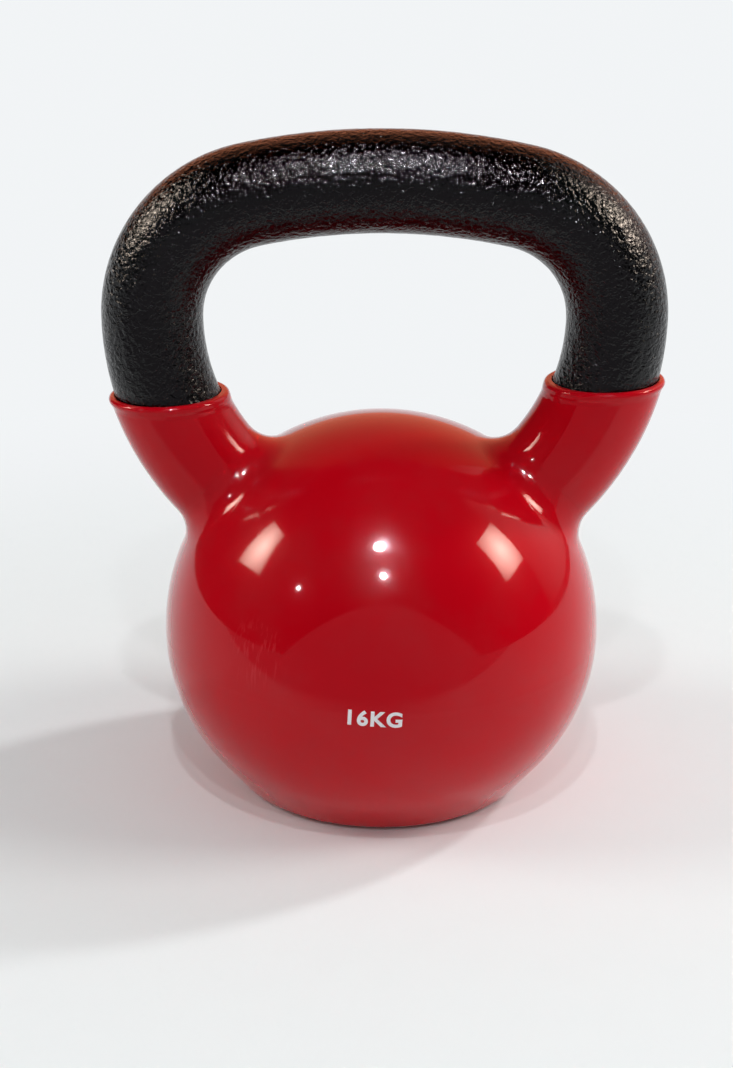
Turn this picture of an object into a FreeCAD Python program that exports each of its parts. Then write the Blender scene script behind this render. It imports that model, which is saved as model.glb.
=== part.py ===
import FreeCAD, Part

import math
import os

import Sketcher

# A vinyl-dipped cast kettlebell, upright on its flat base.
# +Z is up, the handle spans along X, the origin is the middle of the base.
# The iron is one casting: a ball with a flat foot and a closed loop handle
# that runs down into two horns.  The bar is coated with textured enamel, and
# the ball and horns are dipped in vinyl up to a slanting trim line.

SIZES = [
    # alias, value, what it is (millimetres, slopes in degrees)
    ("overall_height", 242.3, "floor to the top of the enamelled bar"),
    ("overall_width", 200.9, "across the enamelled handle at its widest"),
    ("ball_radius", 77.85, "iron ball, upper half and girth"),
    ("lower_radius", 68.1, "tighter arc of the iron ball below its girth"),
    ("flank_slope", 51.0, "slope of the ball's straight flank above its foot"),
    ("girth_height", 58.1, "floor to the widest circle of the ball"),
    ("foot_edge_radius", 4.3, "rounding where the iron ball meets its flat foot"),
    ("bar_diameter", 35.5, "bare iron bar of the handle"),
    ("crown_radius", 224.5, "centreline of the gently crowned top of the bar"),
    ("corner_radius", 44.6, "centreline of each corner of the handle"),
    ("horn_end_reach", 29.08, "from the ball's axis to where each leg's centreline ends"),
    ("horn_end_height", 95.0, "floor to where each leg's centreline ends, inside the ball"),
    ("horn_blend_radius", 14.5, "casting fillet between each horn and the ball"),
    ("enamel_thickness", 0.35, "textured enamel on the bar"),
    ("enamel_lap", 8.0, "how far the enamel runs down inside the vinyl"),
    ("vinyl_thickness", 2.3, "dipped vinyl on the ball and horns"),
    ("trim_rise", 12.35, "top of the dipped ball up to the trim line, at the middle"),
    ("trim_slope", 2.25, "slant of the trim line, rising towards +X"),
    ("lip_height", 5.0, "thickened lip at the top of each vinyl sleeve"),
    ("lip_flare", 0.65, "how far the lip stands proud of the sleeve"),
    ("lip_edge_radius", 1.3, "rounding of the lip's outer top edge"),
    ("lip_taper", 3.4, "height over which the sleeve swells out to the lip"),
    ("lip_root", 1.5, "how deep the lip's taper is cut, as a share of its flare"),
    ("lip_blend_radius", 5.0, "softens the lip's taper at its top and where it meets the sleeve"),
    ("mouth_gap", 0.4, "relief between the lip's mouth and the enamel"),
    ("mouth_depth", 1.5, "depth of that relief"),
]

XZ = "XZ_Plane"
YZ = "YZ_Plane"
TOLERANCE = 0.01

Vector = FreeCAD.Vector
Rule = Sketcher.Constraint

doc = FreeCAD.newDocument("kettlebell")


# ---------------------------------------------------------------- sizes

def make_sheet():
    sheet = doc.addObject("Spreadsheet::Sheet", "Sizes")
    for row, (alias, value, meaning) in enumerate(SIZES, start=1):
        sheet.set(f"A{row}", alias)
        sheet.set(f"B{row}", str(value))
        sheet.set(f"C{row}", meaning)
        sheet.setAlias(f"B{row}", alias)
    doc.recompute()
    return sheet


sizes = make_sheet()

# The handle's centreline and the trim line, worked out from the sheet.
APEX = "Sizes.overall_height - Sizes.enamel_thickness - Sizes.bar_diameter / 2"
HALF_SPAN = "Sizes.overall_width / 2 - Sizes.enamel_thickness - Sizes.bar_diameter / 2"

TRIM = "(Sizes.girth_height + Sizes.ball_radius + Sizes.vinyl_thickness + Sizes.trim_rise)"

# How far each skin stands off the bare iron.
BARE = "0"
ENAMEL = "Sizes.enamel_thickness"
VINYL = "Sizes.vinyl_thickness"
LIP = "Sizes.vinyl_thickness + Sizes.lip_flare"
MOUTH = "Sizes.enamel_thickness + Sizes.mouth_gap"

# The sleeves end halfway up inside their lips.
LIP_MIDDLE = "Sizes.lip_height / 2"


def value_of(expression):
    """The number that a sheet expression stands for."""
    return float(sizes.evalExpression(expression))


# ---------------------------------------------------------------- sketches

def origin_plane(body, role):
    return next(item for item in body.Origin.OriginFeatures if item.Role == role)


def new_sketch(body, name, role):
    sketch = body.newObject("Sketcher::SketchObject", name)
    sketch.AttachmentSupport = [(origin_plane(body, role), "")]
    sketch.MapMode = "FlatFace"
    return sketch


def drive(sketch, name, kind, places, expression):
    """Add a dimension and bind it to the sheet."""
    index = sketch.addConstraint(Rule(kind, *places, value_of(expression)))
    sketch.renameConstraint(index, name)
    sketch.setExpression(f"Constraints.{name}", expression)


def drive_angle(sketch, name, places, expression):
    """Add an angle, in degrees on the sheet, and bind it to the sheet."""
    index = sketch.addConstraint(Rule("Angle", *places, math.radians(value_of(expression))))
    sketch.renameConstraint(index, name)
    sketch.setExpression(f"Constraints.{name}", expression)


def arc(centre_x, centre_y, radius, start, end):
    circle = Part.Circle(Vector(centre_x, centre_y, 0), Vector(0, 0, 1), radius)
    return Part.ArcOfCircle(circle, start, end)


def ball_profile(body, skin):
    """Half section of the ball: foot, straight flank, lower arc, upper arc."""
    upper = value_of(f"Sizes.ball_radius + {skin}")
    lower = value_of(f"Sizes.lower_radius + {skin}")
    girth = value_of("Sizes.girth_height")
    foot = value_of(f"Sizes.vinyl_thickness - ({skin})")
    slope = math.radians(value_of("Sizes.flank_slope"))
    turn = math.pi / 2 - slope
    flank_top = Vector(upper - lower + lower * math.cos(turn), girth - lower * math.sin(turn), 0)
    flank_foot = Vector(flank_top.x - (flank_top.y - foot) / math.tan(slope), foot, 0)

    sketch = new_sketch(body, f"{body.Name}_profile", XZ)
    axis_line, foot_line, flank, lower_arc, upper_arc = sketch.addGeometry([
        Part.LineSegment(Vector(0, foot, 0), Vector(0, girth + upper, 0)),
        Part.LineSegment(Vector(0, foot, 0), flank_foot),
        Part.LineSegment(flank_foot, flank_top),
        arc(upper - lower, girth, lower, -turn, 0),
        arc(0, girth, upper, 0, math.pi / 2),
    ])
    sketch.addConstraint([
        Rule("Coincident", axis_line, 1, foot_line, 1),
        Rule("Coincident", foot_line, 2, flank, 1),
        Rule("Tangent", flank, 2, lower_arc, 1),
        Rule("Tangent", lower_arc, 2, upper_arc, 1),
        Rule("Coincident", upper_arc, 2, axis_line, 2),
        Rule("PointOnObject", axis_line, 1, -2),
        Rule("PointOnObject", axis_line, 2, -2),
        Rule("PointOnObject", upper_arc, 3, -2),
        Rule("Horizontal", foot_line),
        Rule("Horizontal", upper_arc, 3, upper_arc, 1),
    ])
    drive(sketch, "foot", "DistanceY", (-1, 1, axis_line, 1), f"Sizes.vinyl_thickness - ({skin})")
    drive(sketch, "girth", "DistanceY", (-1, 1, upper_arc, 3), "Sizes.girth_height")
    drive(sketch, "upper", "Radius", (upper_arc,), f"Sizes.ball_radius + {skin}")
    drive(sketch, "lower", "Radius", (lower_arc,), f"Sizes.lower_radius + {skin}")
    drive_angle(sketch, "slope", (-1, 1, flank, 1), "Sizes.flank_slope")
    return sketch


def handle_path(body):
    """Centreline of the +X half: crown, corner and leaning leg, all tangent.
    The leg's radius is whatever carries it from the corner to the horn's end."""
    apex = value_of(APEX)
    span = value_of(HALF_SPAN)
    crown = value_of("Sizes.crown_radius")
    corner = value_of("Sizes.corner_radius")
    shoulder = apex - crown + math.sqrt((crown - corner) ** 2 - (span - corner) ** 2)
    corner_turn = math.atan2(shoulder - (apex - crown), span - corner)
    inward = span - value_of("Sizes.horn_end_reach")
    fall = shoulder - value_of("Sizes.horn_end_height")
    leg = (inward ** 2 + fall ** 2) / (2 * inward)
    leg_turn = math.atan2(fall, leg - inward)

    sketch = new_sketch(body, f"{body.Name}_path", XZ)
    crown_arc, corner_arc, leg_arc = sketch.addGeometry([
        arc(0, apex - crown, crown, corner_turn, math.pi / 2),
        arc(span - corner, shoulder, corner, 0, corner_turn),
        arc(span - leg, shoulder, leg, -leg_turn, 0),
    ])
    sketch.addConstraint([
        Rule("Tangent", crown_arc, 1, corner_arc, 2),
        Rule("Tangent", corner_arc, 1, leg_arc, 2),
        Rule("PointOnObject", crown_arc, 2, -2),
        Rule("PointOnObject", crown_arc, 3, -2),
        Rule("Horizontal", corner_arc, 3, corner_arc, 1),
    ])
    drive(sketch, "apex", "DistanceY", (-1, 1, crown_arc, 2), APEX)
    drive(sketch, "half_span", "DistanceX", (-1, 1, corner_arc, 1), HALF_SPAN)
    drive(sketch, "crown", "Radius", (crown_arc,), "Sizes.crown_radius")
    drive(sketch, "corner", "Radius", (corner_arc,), "Sizes.corner_radius")
    drive(sketch, "horn_reach", "DistanceX", (-1, 1, leg_arc, 1), "Sizes.horn_end_reach")
    drive(sketch, "horn_end", "DistanceY", (-1, 1, leg_arc, 1), "Sizes.horn_end_height")
    return sketch


def bar_section(body, skin):
    """Round section of the bar at the crown, grown by a skin."""
    apex = value_of(APEX)
    radius = value_of(f"Sizes.bar_diameter / 2 + {skin}")

    sketch = new_sketch(body, f"{body.Name}_section", YZ)
    ring = sketch.addGeometry(Part.Circle(Vector(0, apex, 0), Vector(0, 0, 1), radius))
    sketch.addConstraint(Rule("PointOnObject", ring, 3, -2))
    drive(sketch, "apex", "DistanceY", (-1, 1, ring, 3), APEX)
    drive(sketch, "thickness", "Diameter", (ring,), f"Sizes.bar_diameter + 2 * ({skin})")
    return sketch


def trim_outline(body, drop, above):
    """A block's outline on one side of the trim line, lowered by a drop."""
    slope = math.radians(value_of("Sizes.trim_slope"))
    level = value_of(f"{TRIM} - ({drop})")
    reach = value_of("Sizes.overall_width")
    side = reach if above else -reach
    left = Vector(-reach, level - reach * math.tan(slope), 0)
    right = Vector(reach, level + reach * math.tan(slope), 0)
    far_right = Vector(reach, level + side, 0)
    far_left = Vector(-reach, level + side, 0)

    sketch = new_sketch(body, f"{body.Name}_trim_{len(body.Group)}", XZ)
    trim, right_side, far_side, left_side, middle = sketch.addGeometry([
        Part.LineSegment(left, right),
        Part.LineSegment(right, far_right),
        Part.LineSegment(far_right, far_left),
        Part.LineSegment(far_left, left),
        Part.Point(Vector(0, level, 0)),
    ])
    sketch.addConstraint([
        Rule("Coincident", trim, 2, right_side, 1),
        Rule("Coincident", right_side, 2, far_side, 1),
        Rule("Coincident", far_side, 2, left_side, 1),
        Rule("Coincident", left_side, 2, trim, 1),
        Rule("Vertical", right_side),
        Rule("Vertical", left_side),
        Rule("PointOnObject", middle, 1, -2),
        Rule("PointOnObject", middle, 1, trim),
        Rule("Symmetric", far_side, 1, far_side, 2, -2),
    ])
    drive(sketch, "level", "DistanceY", (-1, 1, middle, 1), f"{TRIM} - ({drop})")
    drive(sketch, "reach", "DistanceX", (far_side, 2, far_side, 1), "2 * Sizes.overall_width")
    drive_angle(sketch, "slope", (-1, 1, trim, 1), "Sizes.trim_slope")
    if above:
        drive(sketch, "far", "DistanceY", (-1, 1, far_side, 1),
              f"{TRIM} - ({drop}) + Sizes.overall_width")
    else:
        drive(sketch, "far", "DistanceY", (far_side, 1, -1, 1),
              f"Sizes.overall_width - {TRIM} + ({drop})")
    return sketch


# ---------------------------------------------------------------- features

def new_body(name):
    return doc.addObject("PartDesign::Body", name)


def add_handle(body, skin):
    """The bar swept along one half of the handle, then mirrored."""
    path = handle_path(body)
    section = bar_section(body, skin)
    doc.recompute()
    half = body.newObject("PartDesign::AdditivePipe", f"{body.Name}_half_handle")
    half.Profile = section
    half.Spine = (path, [f"Edge{number + 1}" for number in range(len(path.Shape.Edges))])
    half.Mode = "Standard"
    half.Refine = False
    doc.recompute()
    whole = body.newObject("PartDesign::Mirrored", f"{body.Name}_handle")
    whole.Originals = [half]
    whole.MirrorPlane = (origin_plane(body, YZ), [""])
    whole.Refine = False
    body.Tip = whole
    doc.recompute()
    return whole


def add_ball(body, skin):
    ball = body.newObject("PartDesign::Revolution", f"{body.Name}_ball")
    profile = ball_profile(body, skin)
    ball.Profile = profile
    ball.ReferenceAxis = (profile, ["V_Axis"])
    ball.Angle = 360
    doc.recompute()
    return ball


def round_edges(body, name, chosen, radius_expression):
    """A fillet on every edge of the tip that the test picks."""
    base = body.Tip
    picked = [
        f"Edge{number}"
        for number, edge in enumerate(base.Shape.Edges, start=1)
        if chosen(edge, base.Shape)
    ]
    if not picked:
        raise RuntimeError(f"{name}: no edge found")
    fillet = body.newObject("PartDesign::Fillet", name)
    fillet.Base = (base, picked)
    fillet.setExpression("Radius", radius_expression)
    doc.recompute()
    return fillet


def ball_with_handle(name, skin):
    """Ball and handle in one, with the foot's edge and the horns' roots rounded."""
    body = new_body(name)
    add_ball(body, skin)
    foot = value_of(f"Sizes.vinyl_thickness - ({skin})")
    girth = value_of("Sizes.girth_height")
    radius = value_of(f"Sizes.ball_radius + {skin}")
    middle = Vector(0, 0, girth)

    def on_foot(edge, shape):
        return abs(edge.BoundBox.ZMin - foot) + abs(edge.BoundBox.ZMax - foot) < TOLERANCE

    def at_horn_root(edge, shape):
        if edge.Degenerated:
            return False
        points = edge.discretize(9)
        on_ball = all(abs(point.distanceToPoint(middle) - radius) < TOLERANCE for point in points)
        kinds = {face.Surface.TypeId for face in shape.ancestorsOfType(edge, Part.Face)}
        return on_ball and len(kinds) == 2 and edge.BoundBox.ZMin > girth + TOLERANCE

    round_edges(body, f"{name}_foot_edge", on_foot, f"Sizes.foot_edge_radius + {skin}")
    add_handle(body, skin)
    round_edges(body, f"{name}_horn_roots", at_horn_root, f"Sizes.horn_blend_radius - ({skin})")
    return body


def cut_away(body, drop, above):
    """Remove everything on one side of the lowered trim line."""
    before = body.Shape.Volume
    outline = trim_outline(body, drop, above)
    pocket = body.newObject("PartDesign::Pocket", f"{outline.Name}_cut")
    pocket.Profile = outline
    pocket.SideType = "Symmetric"
    pocket.setExpression("Length", "2 * Sizes.overall_width")
    pocket.Refine = False
    doc.recompute()
    if body.Shape.Volume > before - TOLERANCE:
        raise RuntimeError(f"{pocket.Name} cut nothing")
    return pocket


def handle_only(name, skin):
    body = new_body(name)
    add_handle(body, skin)
    return body


def trim_side(point, drop):
    """Height of a point above the lowered trim plane."""
    slope = math.radians(value_of("Sizes.trim_slope"))
    level = value_of(f"{TRIM} - ({drop})")
    return point.z - level - point.x * math.tan(slope)


def lies_on_trim(edge, drop):
    if edge.Degenerated:
        return False
    return all(abs(trim_side(point, drop)) < TOLERANCE for point in edge.discretize(5))


def make_collars():
    """The two lips: short lengths of a fatter handle, tapered underneath."""
    body = handle_only("collars", LIP)
    cut_away(body, "0", above=True)
    cut_away(body, "Sizes.lip_height", above=False)
    base = body.Tip
    undersides = [
        f"Edge{number}"
        for number, edge in enumerate(base.Shape.Edges, start=1)
        if lies_on_trim(edge, "Sizes.lip_height")
    ]
    taper = body.newObject("PartDesign::Chamfer", "lip_tapers")
    taper.Base = (base, undersides)
    taper.ChamferType = "Two distances"
    taper.setExpression("Size", "Sizes.lip_taper")
    taper.setExpression("Size2", "Sizes.lip_flare * Sizes.lip_root")
    doc.recompute()
    return body


def make_dipped_form():
    """Outside of the vinyl: the casting grown by one skin, trimmed and lipped."""
    body = ball_with_handle("dipped_form", VINYL)
    cut_away(body, LIP_MIDDLE, above=True)
    without_lips = body.Shape.Volume
    collars = make_collars()
    joined = body.newObject("PartDesign::Boolean", "dipped_form_with_lips")
    joined.Type = "Fuse"
    joined.addObject(collars)
    joined.Refine = False
    doc.recompute()
    if joined.Shape.Volume < without_lips + TOLERANCE:
        raise RuntimeError("the lips did not join the dipped form")

    loop = value_of("Sizes.bar_diameter")
    underside = value_of("Sizes.lip_height")

    def round_taper(edge, shape):
        if edge.Degenerated or edge.Length < loop:
            return False
        depths = [-trim_side(point, "0") for point in edge.discretize(9)]
        return min(depths) > TOLERANCE and max(depths) < underside - TOLERANCE

    def on_top(edge, shape):
        return lies_on_trim(edge, "0")

    round_edges(body, "lip_blends", round_taper, "Sizes.lip_blend_radius")
    round_edges(body, "lip_edges", on_top, "Sizes.lip_edge_radius")
    return body


def subtract(name, base, tool):
    cut = doc.addObject("Part::Cut", name)
    cut.Base = base
    cut.Tool = tool
    cut.Refine = False
    doc.recompute()
    return cut


# ---------------------------------------------------------------- sub-parts

def make_iron_casting():
    """Ball, horns and loop handle, poured as one piece."""
    return ball_with_handle("iron_casting", BARE)


def make_enamel_form():
    """The handle grown by the enamel, down to where the enamel ends."""
    body = handle_only("enamel_form", ENAMEL)
    cut_away(body, "Sizes.enamel_lap", above=False)
    return body


def make_mouth_form():
    """A slightly fatter handle, which opens the mouth of each lip."""
    body = handle_only("mouth_form", MOUTH)
    cut_away(body, "Sizes.mouth_depth", above=False)
    return body


def make_handle_enamel(iron, enamel_form):
    return subtract("handle_enamel", enamel_form, iron)


def make_vinyl_jacket(iron, enamel_form):
    """The dip, hollow where the casting and the end of the enamel sit in it."""
    over_iron = subtract("dip_over_iron", make_dipped_form(), iron)
    over_enamel = subtract("dip_over_enamel", over_iron, enamel_form)
    return subtract("vinyl_jacket", over_enamel, make_mouth_form())


def check_document():
    for item in doc.Objects:
        if {"Invalid", "Error"} & set(item.State) or not item.isValid():
            raise RuntimeError(f"{item.Name} failed: {item.getStatusString()}")


def check_piece(piece):
    shape = piece.Shape
    if shape.isNull() or not shape.isValid():
        raise RuntimeError(f"{piece.Label} has no valid shape")
    if len(shape.Solids) != 1:
        raise RuntimeError(f"{piece.Label} is {len(shape.Solids)} solids")


def main():
    iron = make_iron_casting()
    enamel_form = make_enamel_form()
    pieces = [
        iron,
        make_handle_enamel(iron, enamel_form),
        make_vinyl_jacket(iron, enamel_form),
    ]
    doc.recompute()
    check_document()
    for piece in pieces:
        check_piece(piece)
    os.makedirs("parts", exist_ok=True)
    for piece in pieces:
        piece.Shape.exportStep(f"parts/{piece.Label}.step")
        volume = piece.Shape.Volume / 1000
        print(f"{piece.Label}: {volume:.1f} cm3")


main()
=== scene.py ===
import math

import bmesh
import bpy
import numpy as np
from mathutils import Matrix, Vector


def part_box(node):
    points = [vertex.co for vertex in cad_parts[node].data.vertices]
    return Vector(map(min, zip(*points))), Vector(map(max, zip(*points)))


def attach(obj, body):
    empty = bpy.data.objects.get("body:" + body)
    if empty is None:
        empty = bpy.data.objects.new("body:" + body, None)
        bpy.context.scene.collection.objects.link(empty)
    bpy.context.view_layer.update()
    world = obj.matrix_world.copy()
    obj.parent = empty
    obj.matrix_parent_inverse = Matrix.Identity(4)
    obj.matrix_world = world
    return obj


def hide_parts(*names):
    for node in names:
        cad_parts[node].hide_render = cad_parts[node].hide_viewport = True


# The looks of a vinyl-dipped kettlebell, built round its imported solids.
# Everything is in metres, +Z up, with the handle along X and the front towards -Y.

bl_info = {
    "name": "Vinyl Kettlebell",
    "version": (1, 0, 0),
    "blender": (4, 5, 0),
    "location": "3D View > Sidebar > Kettlebell",
    "description": "Finishes the packed kettlebell and sets its studio",
    "category": "Object",
}

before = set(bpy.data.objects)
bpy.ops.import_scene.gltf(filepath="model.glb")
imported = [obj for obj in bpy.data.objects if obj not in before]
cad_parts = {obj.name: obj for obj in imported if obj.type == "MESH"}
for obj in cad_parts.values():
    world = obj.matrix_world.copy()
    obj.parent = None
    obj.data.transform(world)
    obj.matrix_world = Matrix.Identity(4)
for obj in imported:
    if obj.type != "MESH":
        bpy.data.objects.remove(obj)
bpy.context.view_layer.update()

MM = 0.001
JACKET = "vinyl_jacket"
ENAMEL = "handle_enamel"
IRON = "iron_casting"

# Enamel: rings along its outside, rings back along the iron, and points round each
ENAMEL_RINGS = 462
ENAMEL_INNER_RINGS = 46
ENAMEL_AROUND = 192
ENAMEL_END_SEARCH = (90 * MM, 190 * MM)
# (cell, share, seed) of each layer of the ripples, and (cell, seed) of the swell
RIPPLES = ((2.1 * MM, 0.6, 11), (1.3 * MM, 0.4, 12))
SWELL = (17 * MM, 13)
TRIM_FADE = 3 * MM
# How much paler smudges are, how far the roughness strays, and the fine relief of
# grain and pebbles, in cells to the metre
ENAMEL_IOR = 1.35
ENAMEL_WORN = 1.8
ENAMEL_UNEVEN = (-0.05, 0.10)
GRAIN_SCALE = 600.0
PEBBLE_SCALE = 500.0
PEBBLE_SHARE = 0.4
ENAMEL_RELIEF = 0.6 * MM

# Vinyl: its own gloss, the haze over it, and the wear on it
VINYL_IOR = 1.27
HAZE_IOR = 1.09
DUST_KEEPS = 0.93
DUST_ADDS = 0.006
WORN_GLOSS = 0.09
SCUFF_PLACE = (-0.0443, -0.0650, 0.0733)
SCUFF_REACH = 15 * MM
SCUFF_CORE = 0.45
SCUFF_COLOUR = (0.56, 0.014, 0.022)
SCUFF_STREAKS = (950.0, 950.0, 40.0)
SCUFF_BAND = (0.52, 0.68)
SCUFF_WEAR = 0.8
SCUFF_RELIEF = 0.03
SPECK_RELIEF = 0.12
VINYL_SWELL_SCALE = 24.0
VINYL_RELIEF = 0.3 * MM

# Handling marks: their cells to the metre, and the band of noise that each starts in
SMUDGE_SCALE = 34.0
SMUDGE_BAND = (0.42, 0.72)
SPECK_SCALE = 420.0
SPECK_BAND = (0.09, 0.05)
SPECK_PLACES_SCALE = 95.0
SPECK_PLACES_BAND = (0.66, 0.72)

# Bare iron and printing ink
RUST_TINT = (1.2, 0.8, 0.6)
IRON_ROUGHNESS = (0.5, 0.75)
SAND_SCALE = 700.0
IRON_RELIEF = 0.3 * MM
INK_THIN = 0.88
INK_ROUGHNESS = (0.35, 0.55)
INK_TOOTH_SCALE = 1500.0
INK_RELIEF = 0.05 * MM

# Weight mark: how bold and how wide apart its letters are, the cells it bends in,
# and how deep it goes for each part of ink that shows
MARK_BOLD = 0.032
MARK_SPACING = 1.12
MARK_CURVE_STEPS = 5
MARK_CELL = 0.7 * MM
MARK_ROOT = 1.8

# Floor: where it fades to white, and the front edge of the lit paper, which is
# softest in the middle and slopes forward on the right
FLOOR_HALF = 6.0
FLOOR_TOOTH_SCALE = 60.0
FLOOR_DIM = 0.985
FLOOR_ROUGHNESS = 0.7
FLOOR_GLOSS = 0.1
FLOOR_FADE = (0.12, 0.48)
PAPER_EDGE = -0.215
PAPER_EDGE_SLOPE = 0.37
PAPER_SOFT = 0.085
PAPER_SOFT_LEAST = 0.005
PAPER_SOFT_REACH = 0.30
# Painted light: the dim grey glow that the floor shows past the paper's edge to reflected and bounced
# rays, in place of its lit colour; the room's opening in reflections has this colour too
FRONT_DIM_GLOW = (0.40, 0.36, 0.40)

# Room in the reflections: a dim opening in front, whose top falls with the square of
# the angle to each side, and a warm wall behind with a white foot
OPENING_TOP = math.radians(32)
OPENING_FALL = math.radians(23) / math.radians(43) ** 2
OPENING_SOFT = 0.02
WALL_SIDE = (math.radians(180 - 42), math.radians(180 - 34))
WALL_TOP = math.radians(62)
WALL_TOP_SOFT = 0.03
WALL_TOP_SHARE = 0.22
WALL_BRIGHT = math.radians(22)
WALL_FOOT = (math.radians(3), math.radians(8))
WALL_COLOUR = (1.10, 0.38, 0.20)
ROOM_DARK = (0.004, 0.004, 0.004)
ROOM_LIGHT = (0.322, 0.336, 0.338)


# ---------------------------------------------------------------- settings

def length(name, description, default_mm):
    """A length property, given in millimetres and kept in metres."""
    return bpy.props.FloatProperty(
        name=name, description=description, default=default_mm * MM,
        subtype="DISTANCE", unit="LENGTH", precision=5)


def colour(name, description, default):
    """A colour property."""
    return bpy.props.FloatVectorProperty(
        name=name, description=description, default=default,
        subtype="COLOR", size=3, min=0.0, max=1.0)


def factor(name, description, default):
    """A property from 0 to 1."""
    return bpy.props.FloatProperty(
        name=name, description=description, default=default,
        subtype="FACTOR", min=0.0, max=1.0)


def angle(name, description, default_degrees):
    """An angle property, given in degrees and kept in radians."""
    return bpy.props.FloatProperty(
        name=name, description=description, default=math.radians(default_degrees),
        subtype="ANGLE", unit="ROTATION")


class KettlebellHandleSettings(bpy.types.PropertyGroup):
    """Sizes and finish of the enamelled bar."""
    bar_radius: length("Bar radius", "Radius over the enamel", 18.1)
    skin: length("Enamel thickness", "Enamel over the bare iron", 0.35)
    crown_radius: length("Crown radius", "Centreline of the top of the bar", 224.5)
    corner_radius: length("Corner radius", "Centreline of each corner", 44.6)
    leg_radius: length("Leg radius", "Centreline of each leg", 87.6)
    trim_height: length("Trim height", "Where the vinyl stops, at the middle", 150.6)
    trim_slope: angle("Trim slope", "Slant of the trim line", 2.25)
    lap: length("Lap", "How far the enamel runs inside the vinyl", 7.6)
    orange_peel: length("Orange peel", "Depth of the enamel's ripples", 0.10)
    cast_swell: length("Cast swell", "Depth of the casting's slow waves", 0.08)
    enamel_colour: colour("Enamel colour", "Black textured enamel", (0.0012, 0.0012, 0.0014))
    enamel_roughness: factor("Enamel roughness", "Mean roughness of the enamel", 0.11)


class KettlebellVinylSettings(bpy.types.PropertyGroup):
    """Finish of the dipped vinyl."""
    vinyl_colour: colour("Vinyl colour", "Deep red dipped vinyl", (0.52, 0.0002, 0.0065))
    gloss: factor("Gloss", "Roughness of the sharp reflection", 0.03)
    haze: factor("Haze", "Roughness of the faint haze round highlights", 0.26)
    iron_colour: colour("Iron colour", "Bare iron under the finishes", (0.16, 0.16, 0.165))


class KettlebellMarkSettings(bpy.types.PropertyGroup):
    """The printed weight."""
    words: bpy.props.StringProperty(
        name="Words", description="Weight printed on the ball", default="16KG")
    letter_height: length("Letter height", "Height of the capitals", 5.9)
    mark_width: length("Width", "Width of the whole mark", 18.6)
    aside: length("Aside", "How far towards +X its middle is", -3.2)
    height: length("Height", "Height of the mark's middle above the floor", 56.4)
    girth_height: length("Girth height", "Height of the ball's widest ring", 58.1)
    lower_arc: length("Lower arc", "Radius of the ball's profile under the girth", 70.4)
    turn: angle("Turn", "How far it is turned", -2.5)
    ink: length("Ink", "Thickness of the print", 0.06)
    ink_colour: colour("Ink colour", "Pale printing ink", (0.93, 0.90, 0.92))


class KettlebellStageSettings(bpy.types.PropertyGroup):
    """Camera, floor and lamps."""
    floor_colour: colour("Floor colour", "Pale floor", (0.88, 0.885, 0.885))
    backdrop_colour: colour("Backdrop colour", "White behind the object", (0.885, 0.905, 0.92))
    camera_place: bpy.props.FloatVectorProperty(
        name="Camera place", description="Where the camera stands",
        default=(-0.014, -0.7461, 0.3715), subtype="TRANSLATION", unit="LENGTH", size=3)
    camera_tilt: angle("Camera tilt", "How far the camera looks down", 20.43)
    camera_pan: angle("Camera pan", "How far it looks towards +X", 0.63)
    camera_roll: angle("Camera roll", "How far it leans", 0.54)
    camera_lens: bpy.props.FloatProperty(
        name="Camera lens", description="Focal length on a 36 mm frame height",
        default=72.99, unit="CAMERA")


# ---------------------------------------------------------------- mesh helpers

def lattice_noise(points, cell, seed):
    """Smooth noise from -1 to 1: random values on a cubic lattice of the given cell,
    blended between corners by the quintic curve 6t^5 - 15t^4 + 10t^3."""
    size = 32
    values = np.random.RandomState(seed).uniform(-1, 1, (size, size, size))
    place = points / cell
    low = np.floor(place).astype(int)
    part = place - low
    part = part ** 3 * (part * (part * 6 - 15) + 10)
    total = np.zeros(points.shape[:-1])
    for corner in np.ndindex(2, 2, 2):
        shift = np.array(corner)
        index = (low + shift) % size
        weight = np.prod(np.where(shift == 1, part, 1 - part), axis=-1)
        total += weight * values[index[..., 0], index[..., 1], index[..., 2]]
    return total


def closed_grid_faces(rows, columns):
    """Quads of a grid that closes on itself both ways, as on a ring."""
    row, column = np.meshgrid(np.arange(rows), np.arange(columns), indexing="ij")
    next_row = (row + 1) % rows
    next_column = (column + 1) % columns
    quads = np.stack([
        row * columns + column,
        next_row * columns + column,
        next_row * columns + next_column,
        row * columns + next_column,
    ], axis=-1)
    return quads.reshape(-1, 4)


def mesh_from(name, points, quads):
    """A smooth mesh from an array of points and an array of quads."""
    mesh = bpy.data.meshes.new(name)
    mesh.vertices.add(len(points))
    mesh.vertices.foreach_set("co", points.astype(np.float32).ravel())
    mesh.loops.add(quads.size)
    mesh.loops.foreach_set("vertex_index", quads.astype(np.int32).ravel())
    mesh.polygons.add(len(quads))
    mesh.polygons.foreach_set("loop_start", np.arange(len(quads), dtype=np.int32) * 4)
    mesh.polygons.foreach_set("use_smooth", np.ones(len(quads), dtype=bool))
    mesh.update(calc_edges=True)
    mesh.validate()
    return mesh


def points_of(mesh):
    """The places of a mesh's vertices, one row each."""
    places = np.zeros(len(mesh.vertices) * 3, dtype=np.float32)
    mesh.vertices.foreach_get("co", places)
    return places.reshape(-1, 3).astype(float)


def place_in_scene(name, data):
    """A new object in the scene that shows the given data."""
    made = bpy.data.objects.new(name, data)
    bpy.context.scene.collection.objects.link(made)
    return made


def new_piece(name, mesh, material):
    """A mesh as a piece of the kettlebell, on its one body."""
    piece = place_in_scene(name, mesh)
    mesh.materials.append(material)
    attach(piece, "root")
    return piece


# ---------------------------------------------------------------- handle

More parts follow.
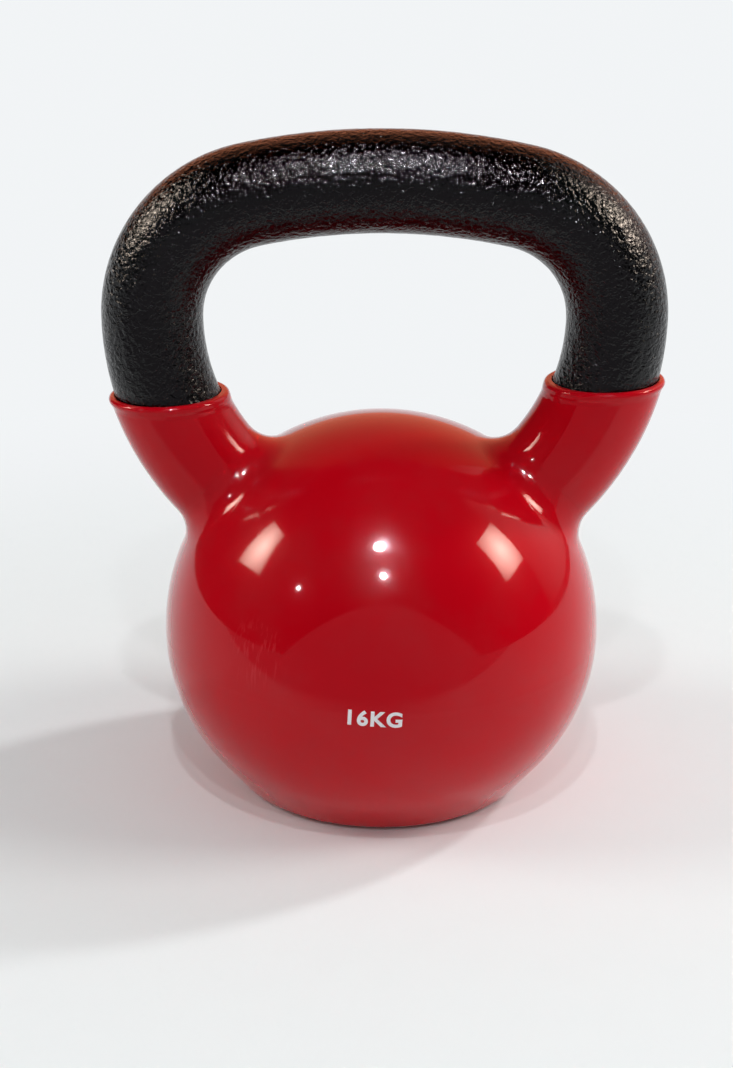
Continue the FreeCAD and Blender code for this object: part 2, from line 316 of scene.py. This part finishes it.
def handle_line(along, settings):
    """Centreline of the handle at signed distances from the crown's middle.
    Three tangent arcs follow each other: crown, corner and leg.  On an arc of
    radius r that starts turned by a, the heading after a distance s is a + s / r.
    Gives x, z, the heading below horizontal, and the side, which mirrors them."""
    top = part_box(ENAMEL)[1]
    apex = top.z - settings.bar_radius
    span = top.x - settings.bar_radius
    crown, corner, leg = settings.crown_radius, settings.corner_radius, settings.leg_radius
    crown_turn = math.asin((span - corner) / (crown - corner))
    corner_turn = math.pi / 2 - crown_turn
    crown_end = crown * crown_turn
    corner_end = crown_end + corner * corner_turn
    shoulder = apex - crown + (crown - corner) * math.cos(crown_turn)
    s = np.abs(along)
    on_crown = s < crown_end
    on_corner = (s >= crown_end) & (s < corner_end)
    heading = np.select(
        [on_crown, on_corner],
        [s / crown, crown_turn + (s - crown_end) / corner],
        math.pi / 2 + (s - corner_end) / leg)
    x = np.select(
        [on_crown, on_corner],
        [crown * np.sin(heading), span - corner + corner * np.sin(heading)],
        span - leg + leg * np.sin(heading))
    z = np.select(
        [on_crown, on_corner],
        [apex - crown + crown * np.cos(heading), shoulder + corner * np.cos(heading)],
        shoulder + leg * np.cos(heading))
    side = np.where(along < 0, -1.0, 1.0)
    return x * side, z, heading, side


def handle_end(side, settings):
    """Distance along the handle at which the enamel ends inside the vinyl."""
    along = np.linspace(*ENAMEL_END_SEARCH, 2001) * side
    x, z, _, _ = handle_line(along, settings)
    above = z - (settings.trim_height + x * math.tan(settings.trim_slope) - settings.lap)
    return float(along[np.argmin(np.abs(above))])


def enamel_surface(settings):
    """The enamel as one closed skin: rings of radius r round the centreline run
    out along the outside and back along the iron, so the grid closes both ways.
    Outside, r is the bar radius less ripples of noise, which fade out in the vinyl."""
    left, right = handle_end(-1, settings), handle_end(1, settings)
    along = np.concatenate([
        np.linspace(left, right, ENAMEL_RINGS),
        np.linspace(right, left, ENAMEL_INNER_RINGS),
    ])
    outside = np.arange(len(along)) < ENAMEL_RINGS
    x, z, heading, side = handle_line(along, settings)
    turn = np.linspace(0, 2 * np.pi, ENAMEL_AROUND, endpoint=False)
    out_x = (side * np.sin(heading))[:, None] * np.cos(turn)
    out_z = np.cos(heading)[:, None] * np.cos(turn)
    out_y = np.broadcast_to(-np.sin(turn), out_x.shape)
    outward = np.stack([out_x, out_y, out_z], axis=-1)
    centre = np.stack([x, np.zeros_like(x), z], axis=-1)[:, None, :]
    radius = np.where(outside, settings.bar_radius, settings.bar_radius - settings.skin)
    points = centre + outward * radius[:, None, None]

    ripple = sum(share * lattice_noise(points, cell, seed) for cell, share, seed in RIPPLES)
    swell = lattice_noise(points, *SWELL)
    depth = (1 - ripple) / 2 * settings.orange_peel + (1 - swell) / 2 * settings.cast_swell
    trim = settings.trim_height + points[..., 0] * math.tan(settings.trim_slope)
    clear = np.clip((points[..., 2] - trim) / TRIM_FADE, 0, 1)
    fade = clear * clear * (3 - 2 * clear)
    room = np.where(outside[:, None], fade, 0.0)
    points = points - outward * (depth * room)[..., None]
    return points.reshape(-1, 3), closed_grid_faces(len(along), ENAMEL_AROUND)


# ---------------------------------------------------------------- materials

def wire(tree, source, entry):
    """Feed a node's input from a socket, or set it to a plain value."""
    if isinstance(source, bpy.types.NodeSocket):
        tree.links.new(source, entry)
    else:
        entry.default_value = source


def node(tree, kind, inputs=None, **properties):
    """A node with its properties set and its inputs fed or set, all by name."""
    made = tree.nodes.new(kind)
    for key, value in properties.items():
        setattr(made, key, value)
    for name, source in (inputs or {}).items():
        wire(tree, source, made.inputs[name])
    return made


def calc(tree, operation, *terms, clamp=False):
    """A sum, product or other Math operation on sockets and plain numbers."""
    made = node(tree, "ShaderNodeMath", operation=operation, use_clamp=clamp)
    for entry, term in zip(made.inputs, terms):
        wire(tree, term, entry)
    return made.outputs["Value"]


def added(tree, *masks):
    """Masks added up, each sum held at 1."""
    total = masks[0]
    for mask in masks[1:]:
        total = calc(tree, "ADD", total, mask, clamp=True)
    return total


def ranged(tree, value, low, high, to_low=0.0, to_high=1.0, curve="LINEAR"):
    """A value carried from low..high to to_low..to_high and held between them."""
    return node(tree, "ShaderNodeMapRange", {
        "Value": value, "From Min": low, "From Max": high,
        "To Min": to_low, "To Max": to_high}, interpolation_type=curve).outputs["Result"]


def stepped(tree, value, low, high):
    """A mask that rises smoothly from 0 at low to 1 at high."""
    return ranged(tree, value, low, high, curve="SMOOTHSTEP")


def noise(tree, place, scale, detail, **inputs):
    """Noise from 0 to 1, with its scale in cells to the metre."""
    values = {name.title(): value for name, value in inputs.items()}
    values.update({"Vector": place, "Scale": scale, "Detail": detail})
    return node(tree, "ShaderNodeTexNoise", values).outputs["Fac"]


def streaks(tree, place, scale, detail):
    """Noise drawn out into lines along the axis with the smallest scale."""
    drawn = node(tree, "ShaderNodeMapping", {"Vector": place, "Scale": scale})
    return noise(tree, drawn.outputs["Vector"], 1.0, detail)


def rgba(tint):
    """A colour with the opacity that a colour socket wants."""
    return (*tint, 1.0)


def mixed(tree, mask, plain, marked):
    """One colour where the mask is 0 and another where it is 1."""
    mix = tree.nodes.new("ShaderNodeMix")
    mix.data_type = "RGBA"
    for name, source in (("Factor", mask), ("A", plain), ("B", marked)):
        wire(tree, source, mix.inputs[name])
    return mix.outputs["Result"]


def chosen(tree, mask, first, second):
    """One shader where the mask is 0 and another where it is 1."""
    mix = node(tree, "ShaderNodeMixShader", {"Fac": mask})
    wire(tree, first, mix.inputs[1])
    wire(tree, second, mix.inputs[2])
    return mix.outputs["Shader"]


def glowing(tree, tint, strength=1.0):
    """Plain emission of a colour."""
    return node(tree, "ShaderNodeEmission", {
        "Color": rgba(tint), "Strength": strength}).outputs["Emission"]


def relief(tree, shader, height, depth, strength=1.0):
    """Bump on a shader's normal, as deep as the given metres for a height of 1."""
    bump = node(tree, "ShaderNodeBump", {
        "Height": height, "Distance": depth, "Strength": strength})
    wire(tree, bump.outputs["Normal"], shader.inputs["Normal"])


def handling_group():
    """Marks of handling as masks: soft smudges, and a few specks of dust, which are
    the middles of cells in the few places where slow noise is high."""
    group = bpy.data.node_groups.new("handling_marks", "ShaderNodeTree")
    for name, kind, way in (
            ("Place", "NodeSocketVector", "INPUT"),
            ("Smudge Scale", "NodeSocketFloat", "INPUT"),
            ("Speck Scale", "NodeSocketFloat", "INPUT"),
            ("Smudge", "NodeSocketFloat", "OUTPUT"),
            ("Speck", "NodeSocketFloat", "OUTPUT")):
        group.interface.new_socket(name=name, in_out=way, socket_type=kind)
    entry = group.nodes.new("NodeGroupInput").outputs
    leave = group.nodes.new("NodeGroupOutput").inputs

    smudge = noise(group, entry["Place"], entry["Smudge Scale"], 4.0, roughness=0.62)
    wire(group, ranged(group, smudge, *SMUDGE_BAND), leave["Smudge"])
    cells = node(group, "ShaderNodeTexVoronoi", {
        "Vector": entry["Place"], "Scale": entry["Speck Scale"]}, feature="F1")
    middles = ranged(group, cells.outputs["Distance"], *SPECK_BAND)
    patches = noise(group, entry["Place"], SPECK_PLACES_SCALE, 0.0)
    few = ranged(group, patches, *SPECK_PLACES_BAND)
    wire(group, calc(group, "MULTIPLY", middles, few), leave["Speck"])
    return group


def marks_in(tree, place, smudge_scale=SMUDGE_SCALE, speck_scale=SPECK_SCALE):
    """The handling marks in a material, with its own scales."""
    group = bpy.data.node_groups.get("handling_marks") or handling_group()
    return node(tree, "ShaderNodeGroup", {
        "Place": place, "Smudge Scale": smudge_scale, "Speck Scale": speck_scale,
    }, node_tree=group).outputs


def object_place(tree):
    """Object coordinates."""
    return tree.nodes.new("ShaderNodeTexCoord").outputs["Object"]


def new_material(name):
    """A material, its nodes and its Principled shader."""
    material = bpy.data.materials.new(name)
    material.use_nodes = True
    shader = material.node_tree.nodes["Principled BSDF"]
    return material, material.node_tree, shader


def vinyl_material(settings):
    """Glossy dipped vinyl: deep red, sharp gloss and a faint haze over it, with a
    patch of fine scuffs on the front."""
    material, tree, shader = new_material("red_vinyl")
    place = object_place(tree)
    marks = marks_in(tree, place)
    red = tuple(settings.vinyl_colour)
    dusty = tuple(DUST_KEEPS * part + DUST_ADDS for part in red)

    from_patch = node(tree, "ShaderNodeVectorMath", operation="DISTANCE")
    wire(tree, place, from_patch.inputs[0])
    wire(tree, SCUFF_PLACE, from_patch.inputs[1])
    near = stepped(tree, from_patch.outputs["Value"], SCUFF_REACH, SCUFF_REACH * SCUFF_CORE)
    lines = streaks(tree, place, SCUFF_STREAKS, 2.0)
    scuff = calc(tree, "MULTIPLY", near, stepped(tree, lines, *SCUFF_BAND))
    worn = calc(tree, "MULTIPLY_ADD", scuff, SCUFF_WEAR, marks["Smudge"], clamp=True)
    smudged = mixed(tree, marks["Smudge"], rgba(red), rgba(dusty))
    wire(tree, mixed(tree, scuff, smudged, rgba(SCUFF_COLOUR)), shader.inputs["Base Color"])
    wire(tree, ranged(tree, worn, 0.0, 1.0, settings.gloss, settings.gloss + WORN_GLOSS),
         shader.inputs["Roughness"])
    shader.inputs["IOR"].default_value = VINYL_IOR
    shader.inputs["Coat Weight"].default_value = 1.0
    shader.inputs["Coat Roughness"].default_value = settings.haze
    shader.inputs["Coat IOR"].default_value = HAZE_IOR

    slow = noise(tree, place, VINYL_SWELL_SCALE, 1.0)
    specked = calc(tree, "MULTIPLY_ADD", marks["Speck"], SPECK_RELIEF, slow)
    relief(tree, shader, calc(tree, "MULTIPLY_ADD", scuff, SCUFF_RELIEF, specked), VINYL_RELIEF)
    return material


def enamel_material(settings):
    """Black textured enamel: fine wrinkled grain over the modelled ripples."""
    material, tree, shader = new_material("black_enamel")
    place = object_place(tree)
    marks = marks_in(tree, place)
    black = tuple(settings.enamel_colour)
    worn = tuple(part * ENAMEL_WORN for part in black)
    wire(tree, mixed(tree, marks["Smudge"], rgba(black), rgba(worn)), shader.inputs["Base Color"])
    grain = noise(tree, place, GRAIN_SCALE, 2.0, roughness=0.55, distortion=0.6)
    uneven = [settings.enamel_roughness + part for part in ENAMEL_UNEVEN]
    wire(tree, ranged(tree, grain, 0.0, 1.0, *uneven), shader.inputs["Roughness"])
    shader.inputs["IOR"].default_value = ENAMEL_IOR
    pebble = node(tree, "ShaderNodeTexVoronoi", {"Vector": place, "Scale": PEBBLE_SCALE},
                  feature="SMOOTH_F1")
    height = calc(tree, "MULTIPLY_ADD", pebble.outputs["Distance"], PEBBLE_SHARE, grain)
    relief(tree, shader, height, ENAMEL_RELIEF)
    return material


def iron_material(settings):
    """Grey cast iron under the finishes, browned in patches."""
    material, tree, shader = new_material("cast_iron")
    place = object_place(tree)
    marks = marks_in(tree, place)
    grey = tuple(settings.iron_colour)
    rusty = tuple(part * share for part, share in zip(grey, RUST_TINT))
    wire(tree, mixed(tree, marks["Smudge"], rgba(grey), rgba(rusty)), shader.inputs["Base Color"])
    shader.inputs["Metallic"].default_value = 1.0
    sand = noise(tree, place, SAND_SCALE, 3.0)
    wire(tree, ranged(tree, sand, 0.0, 1.0, *IRON_ROUGHNESS), shader.inputs["Roughness"])
    relief(tree, shader, sand, IRON_RELIEF, strength=0.6)
    return material


def ink_material(settings):
    """Pale printing ink with a slightly uneven body."""
    material, tree, shader = new_material("printed_ink")
    place = object_place(tree)
    marks = marks_in(tree, place)
    pale = tuple(settings.ink_colour)
    thin = tuple(part * INK_THIN for part in pale)
    wire(tree, mixed(tree, marks["Smudge"], rgba(pale), rgba(thin)), shader.inputs["Base Color"])
    tooth = noise(tree, place, INK_TOOTH_SCALE, 2.0)
    wire(tree, ranged(tree, tooth, 0.0, 1.0, *INK_ROUGHNESS), shader.inputs["Roughness"])
    relief(tree, shader, tooth, INK_RELIEF, strength=0.3)
    return material


def front_glow_mask(tree, place):
    """A mask that is 1 in front of the lit paper, where the floor shows its painted dim glow.  The
    paper's edge is straight, slopes forward on the right, and is softest in the middle."""
    axes = node(tree, "ShaderNodeSeparateXYZ", {"Vector": place}).outputs
    aside = calc(tree, "MAXIMUM", axes["X"], 0.0)
    edge = calc(tree, "MULTIPLY_ADD", aside, PAPER_EDGE_SLOPE, axes["Y"])
    off_middle = calc(tree, "ABSOLUTE", axes["X"])
    soft = ranged(tree, off_middle, 0.0, PAPER_SOFT_REACH, PAPER_SOFT, PAPER_SOFT_LEAST)
    near_edge = calc(tree, "ADD", soft, PAPER_EDGE)
    far_edge = calc(tree, "SUBTRACT", PAPER_EDGE, soft)
    return stepped(tree, edge, near_edge, far_edge)


def floor_material(settings):
    """Pale seamless paper with a faint tooth.  Far from the object it is plain white to the camera
    and in reflections.  Not far in front, past the paper's edge, reflected and bounced rays see
    painted light instead: a plain dim grey glow in place of the lit floor."""
    material, tree, shader = new_material("pale_floor")
    place = object_place(tree)
    pale = tuple(settings.floor_colour)
    dim = tuple(part * FLOOR_DIM for part in pale)
    tooth = noise(tree, place, FLOOR_TOOTH_SCALE, 3.0)
    wire(tree, mixed(tree, tooth, rgba(pale), rgba(dim)), shader.inputs["Base Color"])
    shader.inputs["Roughness"].default_value = FLOOR_ROUGHNESS
    shader.inputs["Specular IOR Level"].default_value = FLOOR_GLOSS

    away = node(tree, "ShaderNodeVectorMath", {0: place}, operation="LENGTH")
    far = stepped(tree, away.outputs["Value"], *FLOOR_FADE)
    rays = tree.nodes.new("ShaderNodeLightPath").outputs
    looked_at = added(tree, rays["Is Camera Ray"], rays["Is Glossy Ray"], rays["Is Transmission Ray"])
    bounced = added(tree, rays["Is Glossy Ray"], rays["Is Diffuse Ray"])
    swept = chosen(tree, calc(tree, "MULTIPLY", far, looked_at),
                   shader.outputs["BSDF"], glowing(tree, settings.backdrop_colour))
    # Painted light: in front of the paper's edge, reflected and bounced rays get a dim grey glow in
    # place of the lit floor
    front_glowed = chosen(tree, calc(tree, "MULTIPLY", front_glow_mask(tree, place), bounced),
                   swept, glowing(tree, FRONT_DIM_GLOW))
    wire(tree, front_glowed, tree.nodes["Material Output"].inputs["Surface"])
    return material


def dress(node_name, material):
    """Give a solid carried over from the frame its finish."""
    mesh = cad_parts[node_name].data
    mesh.materials.clear()
    mesh.materials.append(material)


# ---------------------------------------------------------------- weight mark

def flat_words(settings):
    """The mark's outlines as a flat mesh, cut into small cells so that it can bend."""
    curve = bpy.data.curves.new("mark_outline", "FONT")
    curve.body = settings.words
    curve.offset = MARK_BOLD
    curve.space_character = MARK_SPACING
    curve.resolution_u = MARK_CURVE_STEPS
    holder = place_in_scene("mark_outline", curve)
    bpy.context.view_layer.update()
    mesh = bpy.data.meshes.new_from_object(holder)
    bpy.data.objects.remove(holder)
    bpy.data.curves.remove(curve)

    shape = bmesh.new()
    shape.from_mesh(mesh)
    bmesh.ops.remove_doubles(shape, verts=shape.verts, dist=1e-5)
    flat = points_of(mesh)[:, :2]
    low, high = flat.min(axis=0), flat.max(axis=0)
    cells = (int(settings.mark_width / MARK_CELL), int(settings.letter_height / MARK_CELL))
    for axis in (0, 1):
        normal = (1, 0, 0) if axis == 0 else (0, 1, 0)
        for cut in np.linspace(low[axis], high[axis], cells[axis] + 1)[1:-1]:
            bmesh.ops.bisect_plane(
                shape, geom=shape.verts[:] + shape.edges[:] + shape.faces[:], dist=1e-6,
                plane_co=tuple(cut * part for part in normal), plane_no=normal)
    shape.to_mesh(mesh)
    shape.free()
    return mesh, low, high


def print_mark(settings):
    """Lay the flat words on the ball.  Under the girth its profile is an arc of
    radius a about a ring of radius g - a, so a height v along the profile gives
    the angle v / a, and a width u gives the azimuth u over the radius there."""
    mesh, low, high = flat_words(settings)
    flat = points_of(mesh)[:, :2]
    size = np.array([settings.mark_width, settings.letter_height])
    flat = (flat - (low + high) / 2) / (high - low) * size
    cosine, sine = math.cos(settings.turn), math.sin(settings.turn)
    across = flat[:, 0] * cosine - flat[:, 1] * sine + settings.aside
    arc = settings.lower_arc
    start = math.asin((settings.height - settings.girth_height) / arc)
    rise = start + (flat[:, 0] * sine + flat[:, 1] * cosine) / arc
    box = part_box(JACKET)
    girth = (box[1].y - box[0].y) / 2
    outer = arc + settings.ink
    radius = girth - arc + outer * np.cos(rise)
    swing = across / (girth - arc + arc * np.cos(rise))
    points = np.stack([
        radius * np.sin(swing), -radius * np.cos(swing),
        settings.girth_height + outer * np.sin(rise)], axis=-1)
    mesh.vertices.foreach_set("co", points.astype(np.float32).ravel())
    mesh.polygons.foreach_set("use_smooth", np.ones(len(mesh.polygons), dtype=bool))
    mesh.update()
    mesh.materials.clear()
    piece = new_piece("weight_mark", mesh, ink_material(settings))
    wall = piece.modifiers.new("ink_body", "SOLIDIFY")
    wall.thickness = settings.ink * MARK_ROOT
    wall.offset = -1.0


# ---------------------------------------------------------------- operators

class KETTLEBELL_OT_vinyl(bpy.types.Operator):
    """Finish the dipped vinyl jacket"""
    bl_idname = "kettlebell.vinyl"
    bl_label = "Vinyl jacket"

    def execute(self, context):
        dress(JACKET, vinyl_material(context.scene.kettlebell_vinyl))
        return {"FINISHED"}


class KETTLEBELL_OT_iron(bpy.types.Operator):
    """Finish the iron casting under the coats"""
    bl_idname = "kettlebell.iron"
    bl_label = "Iron casting"

    def execute(self, context):
        dress(IRON, iron_material(context.scene.kettlebell_vinyl))
        return {"FINISHED"}


class KETTLEBELL_OT_enamel(bpy.types.Operator):
    """Make the textured enamel on the handle"""
    bl_idname = "kettlebell.enamel"
    bl_label = "Handle enamel"

    def execute(self, context):
        settings = context.scene.kettlebell_handle
        points, quads = enamel_surface(settings)
        mesh = mesh_from("textured_enamel", points, quads)
        piece = new_piece("textured_enamel", mesh, enamel_material(settings))
        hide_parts(ENAMEL)
        return {"FINISHED"}


class KETTLEBELL_OT_mark(bpy.types.Operator):
    """Print the weight on the ball"""
    bl_idname = "kettlebell.mark"
    bl_label = "Weight mark"

    def execute(self, context):
        print_mark(context.scene.kettlebell_mark)
        return {"FINISHED"}


class KETTLEBELL_OT_stage(bpy.types.Operator):
    """Set the floor, the lamps and the camera"""
    bl_idname = "kettlebell.stage"
    bl_label = "Studio"

    def execute(self, context):
        settings = context.scene.kettlebell_stage
        set_floor(settings)
        set_lamps()
        set_cards()
        set_room(settings)
        set_camera(settings)
        return {"FINISHED"}


# ---------------------------------------------------------------- stage

def set_floor(settings):
    """A wide flat floor."""
    half = FLOOR_HALF
    mesh = bpy.data.meshes.new("floor")
    mesh.from_pydata(
        [(-half, -half, 0), (half, -half, 0), (half, half, 0), (-half, half, 0)],
        [], [(0, 1, 2, 3)])
    mesh.materials.append(floor_material(settings))
    place_in_scene("floor", mesh)


def direction(azimuth, elevation):
    """Unit vector from the object; azimuth 0 is the front, 90 is +X."""
    turn, rise = math.radians(azimuth), math.radians(elevation)
    return Vector((
        math.sin(turn) * math.cos(rise), -math.cos(turn) * math.cos(rise), math.sin(rise)))


# The lamps give the light; what the gloss mirrors is the cards below.
# name, azimuth, elevation, distance, width, light at the object, tint
LAMPS = [
    ("key", 118, 35, 2.5, 0.21, 1.06, (0.95, 1.0, 1.01)),
    ("high_spot", -4, 60, 1.3, 0.037, 0.37, (0.95, 1.0, 1.02)),
    ("low_spot", 0, 45.5, 1.3, 0.037, 0.26, (0.95, 1.0, 1.02)),
    ("left_fill", -89, 33, 2.5, 0.90, 0.76, (0.99, 1.0, 0.98)),
    ("right_fill", 87, 34, 2.5, 0.90, 1.15, (0.99, 1.0, 0.98)),
]

# name, corners as (azimuth, elevation), distance, radiance, tint, reach, power:
# the radiance falls from the middle as (1 - r / reach) to that power
CARDS = [
    ("left_box", ((-99, 42), (-96, 21), (-78, 25), (-83, 44)), 1.1, 50.0,
     (1.0, 0.84, 0.70), 0.85, 1.2),
    ("right_box", ((75, 44), (76, 23), (96, 23), (98, 42)), 1.1, 50.0,
     (1.0, 0.84, 0.70), 0.85, 1.2),
    ("right_wall", ((98, 52), (98, 2), (142, 2), (142, 52)), 2.0, 1.6,
     (1.0, 0.80, 0.76), 0.70, 1.0),
]
# name, azimuth, elevation, half size in degrees, radiance, tint, power
SPOTS = [
    ("high_core", -4, 61.5, 2.9, 1000.0, (0.96, 1.0, 1.05), 1.0),
    ("high_glow", -4, 61.5, 9.0, 110.0, (1.0, 0.94, 1.08), 3.6),
    ("high_halo", -3, 60, 15.0, 6.0, (1.05, 0.92, 1.10), 2.0),
    ("high_twin", -9, 61, 1.6, 110.0, (1.0, 0.90, 0.95), 3.0),
    ("low_core", 0, 46.5, 1.8, 1700.0, (0.96, 1.0, 1.05), 1.0),
    ("low_glow", 0, 46.5, 7.0, 90.0, (1.0, 0.94, 1.08), 3.6),
    ("left_core", -53, 31, 1.0, 900.0, (1.0, 0.95, 1.0), 1.0),
    ("left_glow", -53, 31, 3.2, 120.0, (1.0, 0.95, 1.0), 3.6),
]
SPOT_DISTANCE = 3.5
SPOT_REACH = 0.5
MIDDLE = Vector((0, 0, 0.09))


def set_lamps():
    """Square lamps that face the object.  A lamp of energy e at a distance d puts
    e / (pi * d * d) on it, so the energy is worked back from the light wanted."""
    for name, azimuth, elevation, distance, width, light, tint in LAMPS:
        lamp = bpy.data.lights.new(name, "AREA")
        lamp.shape = "SQUARE"
        lamp.size = width
        lamp.energy = light * distance ** 2 * math.pi
        lamp.color = tint
        holder = place_in_scene(name, lamp)
        towards = direction(azimuth, elevation)
        holder.location = MIDDLE + towards * distance
        holder.rotation_euler = towards.to_track_quat("Z", "Y").to_euler()
        holder.visible_glossy = False


def glow_material(name, radiance, tint, reach, power):
    """Light that falls off from the middle of a clear card, so that cards add up."""
    material = bpy.data.materials.new(name)
    material.use_nodes = True
    tree = material.node_tree
    tree.nodes.clear()
    place = tree.nodes.new("ShaderNodeTexCoord")
    centred = node(tree, "ShaderNodeVectorMath", {0: place.outputs["UV"], 1: (0.5, 0.5, 0.0)},
                   operation="DISTANCE")
    fall = ranged(tree, centred.outputs["Value"], 0.0, reach, 1.0, 0.0)
    strength = calc(tree, "MULTIPLY", calc(tree, "POWER", fall, power), radiance)
    clear = tree.nodes.new("ShaderNodeBsdfTransparent")
    over = node(tree, "ShaderNodeAddShader", {
        0: glowing(tree, tint, strength), 1: clear.outputs["BSDF"]})
    node(tree, "ShaderNodeOutputMaterial", {"Surface": over.outputs["Shader"]})
    return material


def add_card(name, corners, distance, radiance, tint, reach, power):
    """A card that only reflections see, so it mirrors in the gloss and lights nothing."""
    mesh = bpy.data.meshes.new(name)
    places = [MIDDLE + direction(*corner) * distance for corner in corners]
    mesh.from_pydata(places, [], [(0, 1, 2, 3)])
    layer = mesh.uv_layers.new(name="UVMap")
    layer.data.foreach_set("uv", (0.0, 1.0, 0.0, 0.0, 1.0, 0.0, 1.0, 1.0))
    mesh.materials.append(glow_material(name, radiance, tint, reach, power))
    card = place_in_scene(name, mesh)
    card.visible_camera = False
    card.visible_diffuse = False
    card.visible_transmission = False
    card.visible_shadow = False


def set_cards():
    """The cards, and each spot as a card as wide and as high as it looks from the object."""
    for card in CARDS:
        add_card(*card)
    for name, azimuth, elevation, half, radiance, tint, power in SPOTS:
        wide = half / math.cos(math.radians(elevation))
        corners = [(azimuth - wide, elevation + half), (azimuth - wide, elevation - half),
                   (azimuth + wide, elevation - half), (azimuth + wide, elevation + half)]
        add_card(name, corners, SPOT_DISTANCE, radiance, tint, SPOT_REACH, power)


def mirrored_room(tree, backdrop):
    """What reflections see round the object, by the height and the angle from the
    front at which they look: a dark room, its opening, its wall and the wall's foot."""
    place = tree.nodes.new("ShaderNodeTexCoord").outputs["Generated"]
    axes = node(tree, "ShaderNodeSeparateXYZ", {"Vector": place}).outputs
    rise = calc(tree, "ARCSINE", axes["Z"])
    ahead = calc(tree, "MULTIPLY", axes["Y"], -1.0)
    turned = calc(tree, "ABSOLUTE", calc(tree, "ARCTAN2", axes["X"], ahead))

    square = calc(tree, "MULTIPLY", turned, turned)
    arch = calc(tree, "MULTIPLY_ADD", square, OPENING_FALL, rise)
    opening = stepped(tree, arch, OPENING_TOP + OPENING_SOFT, OPENING_TOP - OPENING_SOFT)
    behind = stepped(tree, turned, *WALL_SIDE)
    under_top = stepped(tree, rise, WALL_TOP, WALL_TOP - WALL_TOP_SOFT)
    lit = ranged(tree, rise, WALL_TOP, WALL_BRIGHT, WALL_TOP_SHARE, 1.0)
    wall = calc(tree, "MULTIPLY", calc(tree, "MULTIPLY", behind, under_top), lit)
    in_foot = calc(tree, "SUBTRACT", 1.0, stepped(tree, rise, *WALL_FOOT))
    foot = calc(tree, "MULTIPLY", behind, in_foot)

    seen = rgba(ROOM_DARK)
    for mask, tint in ((opening, FRONT_DIM_GLOW), (wall, WALL_COLOUR), (foot, backdrop)):
        seen = mixed(tree, mask, seen, rgba(tint))
    return seen


def set_room(settings):
    """White to the camera, an even light on the object, and in reflections a dark
    room with a dim opening in front and a warm wall behind."""
    world = bpy.data.worlds.new("room")
    bpy.context.scene.world = world
    world.use_nodes = True
    tree = world.node_tree
    tree.nodes.clear()
    light, mirrored, white = [
        node(tree, "ShaderNodeBackground", {"Color": tint}).outputs["Background"]
        for tint in (rgba(ROOM_LIGHT), mirrored_room(tree, settings.backdrop_colour),
                     rgba(settings.backdrop_colour))]
    rays = tree.nodes.new("ShaderNodeLightPath").outputs
    for_gloss = chosen(tree, rays["Is Glossy Ray"], light, mirrored)
    looked_at = added(tree, rays["Is Camera Ray"], rays["Is Transmission Ray"])
    for_camera = chosen(tree, looked_at, for_gloss, white)
    node(tree, "ShaderNodeOutputWorld", {"Surface": for_camera})


def set_camera(settings):
    """The camera, turned by its pan and tilt and then rolled about its own axis."""
    data = bpy.data.cameras.new("camera")
    camera = place_in_scene("camera", data)
    tilt, pan, roll = settings.camera_tilt, settings.camera_pan, settings.camera_roll
    ahead = Vector((
        math.sin(pan) * math.cos(tilt), math.cos(pan) * math.cos(tilt), -math.sin(tilt)))
    right = Vector((math.cos(pan), -math.sin(pan), 0))
    up = right.cross(ahead)
    right_rolled = right * math.cos(roll) + up * math.sin(roll)
    up_rolled = up * math.cos(roll) - right * math.sin(roll)
    turn = Matrix((right_rolled, up_rolled, -ahead)).transposed()
    camera.matrix_world = Matrix.Translation(settings.camera_place) @ turn.to_4x4()
    data.sensor_fit = "VERTICAL"
    data.sensor_height = 36
    data.lens = settings.camera_lens
    data.clip_start = 0.01
    bpy.context.scene.camera = camera
    bpy.context.scene.view_settings.view_transform = "Standard"


# ---------------------------------------------------------------- panel

class KETTLEBELL_PT_panel(bpy.types.Panel):
    """Lists the pieces and their settings"""
    bl_idname = "KETTLEBELL_PT_panel"
    bl_label = "Kettlebell"
    bl_space_type = "VIEW_3D"
    bl_region_type = "UI"
    bl_category = "Kettlebell"

    def draw(self, context):
        for group, operators in PANEL_ROWS:
            box = self.layout.box()
            settings = getattr(context.scene, group)
            for key in settings.__annotations__:
                box.prop(settings, key)
            for operator in operators:
                box.operator(operator)


SETTINGS = {
    "kettlebell_handle": KettlebellHandleSettings,
    "kettlebell_vinyl": KettlebellVinylSettings,
    "kettlebell_mark": KettlebellMarkSettings,
    "kettlebell_stage": KettlebellStageSettings,
}
PANEL_ROWS = [
    ("kettlebell_handle", ("kettlebell.enamel",)),
    ("kettlebell_vinyl", ("kettlebell.iron", "kettlebell.vinyl")),
    ("kettlebell_mark", ("kettlebell.mark",)),
    ("kettlebell_stage", ("kettlebell.stage",)),
]
CLASSES = [
    *SETTINGS.values(),
    KETTLEBELL_OT_vinyl,
    KETTLEBELL_OT_iron,
    KETTLEBELL_OT_enamel,
    KETTLEBELL_OT_mark,
    KETTLEBELL_OT_stage,
    KETTLEBELL_PT_panel,
]


def register():
    for item in CLASSES:
        bpy.utils.register_class(item)
    for name, group in SETTINGS.items():
        setattr(bpy.types.Scene, name, bpy.props.PointerProperty(type=group))


def unregister():
    for name in SETTINGS:
        delattr(bpy.types.Scene, name)
    for item in reversed(CLASSES):
        bpy.utils.unregister_class(item)


def main():
    register()
    bpy.ops.kettlebell.iron()
    bpy.ops.kettlebell.vinyl()
    bpy.ops.kettlebell.enamel()
    bpy.ops.kettlebell.mark()
    bpy.ops.kettlebell.stage()


if __name__ == "__main__":
    main()
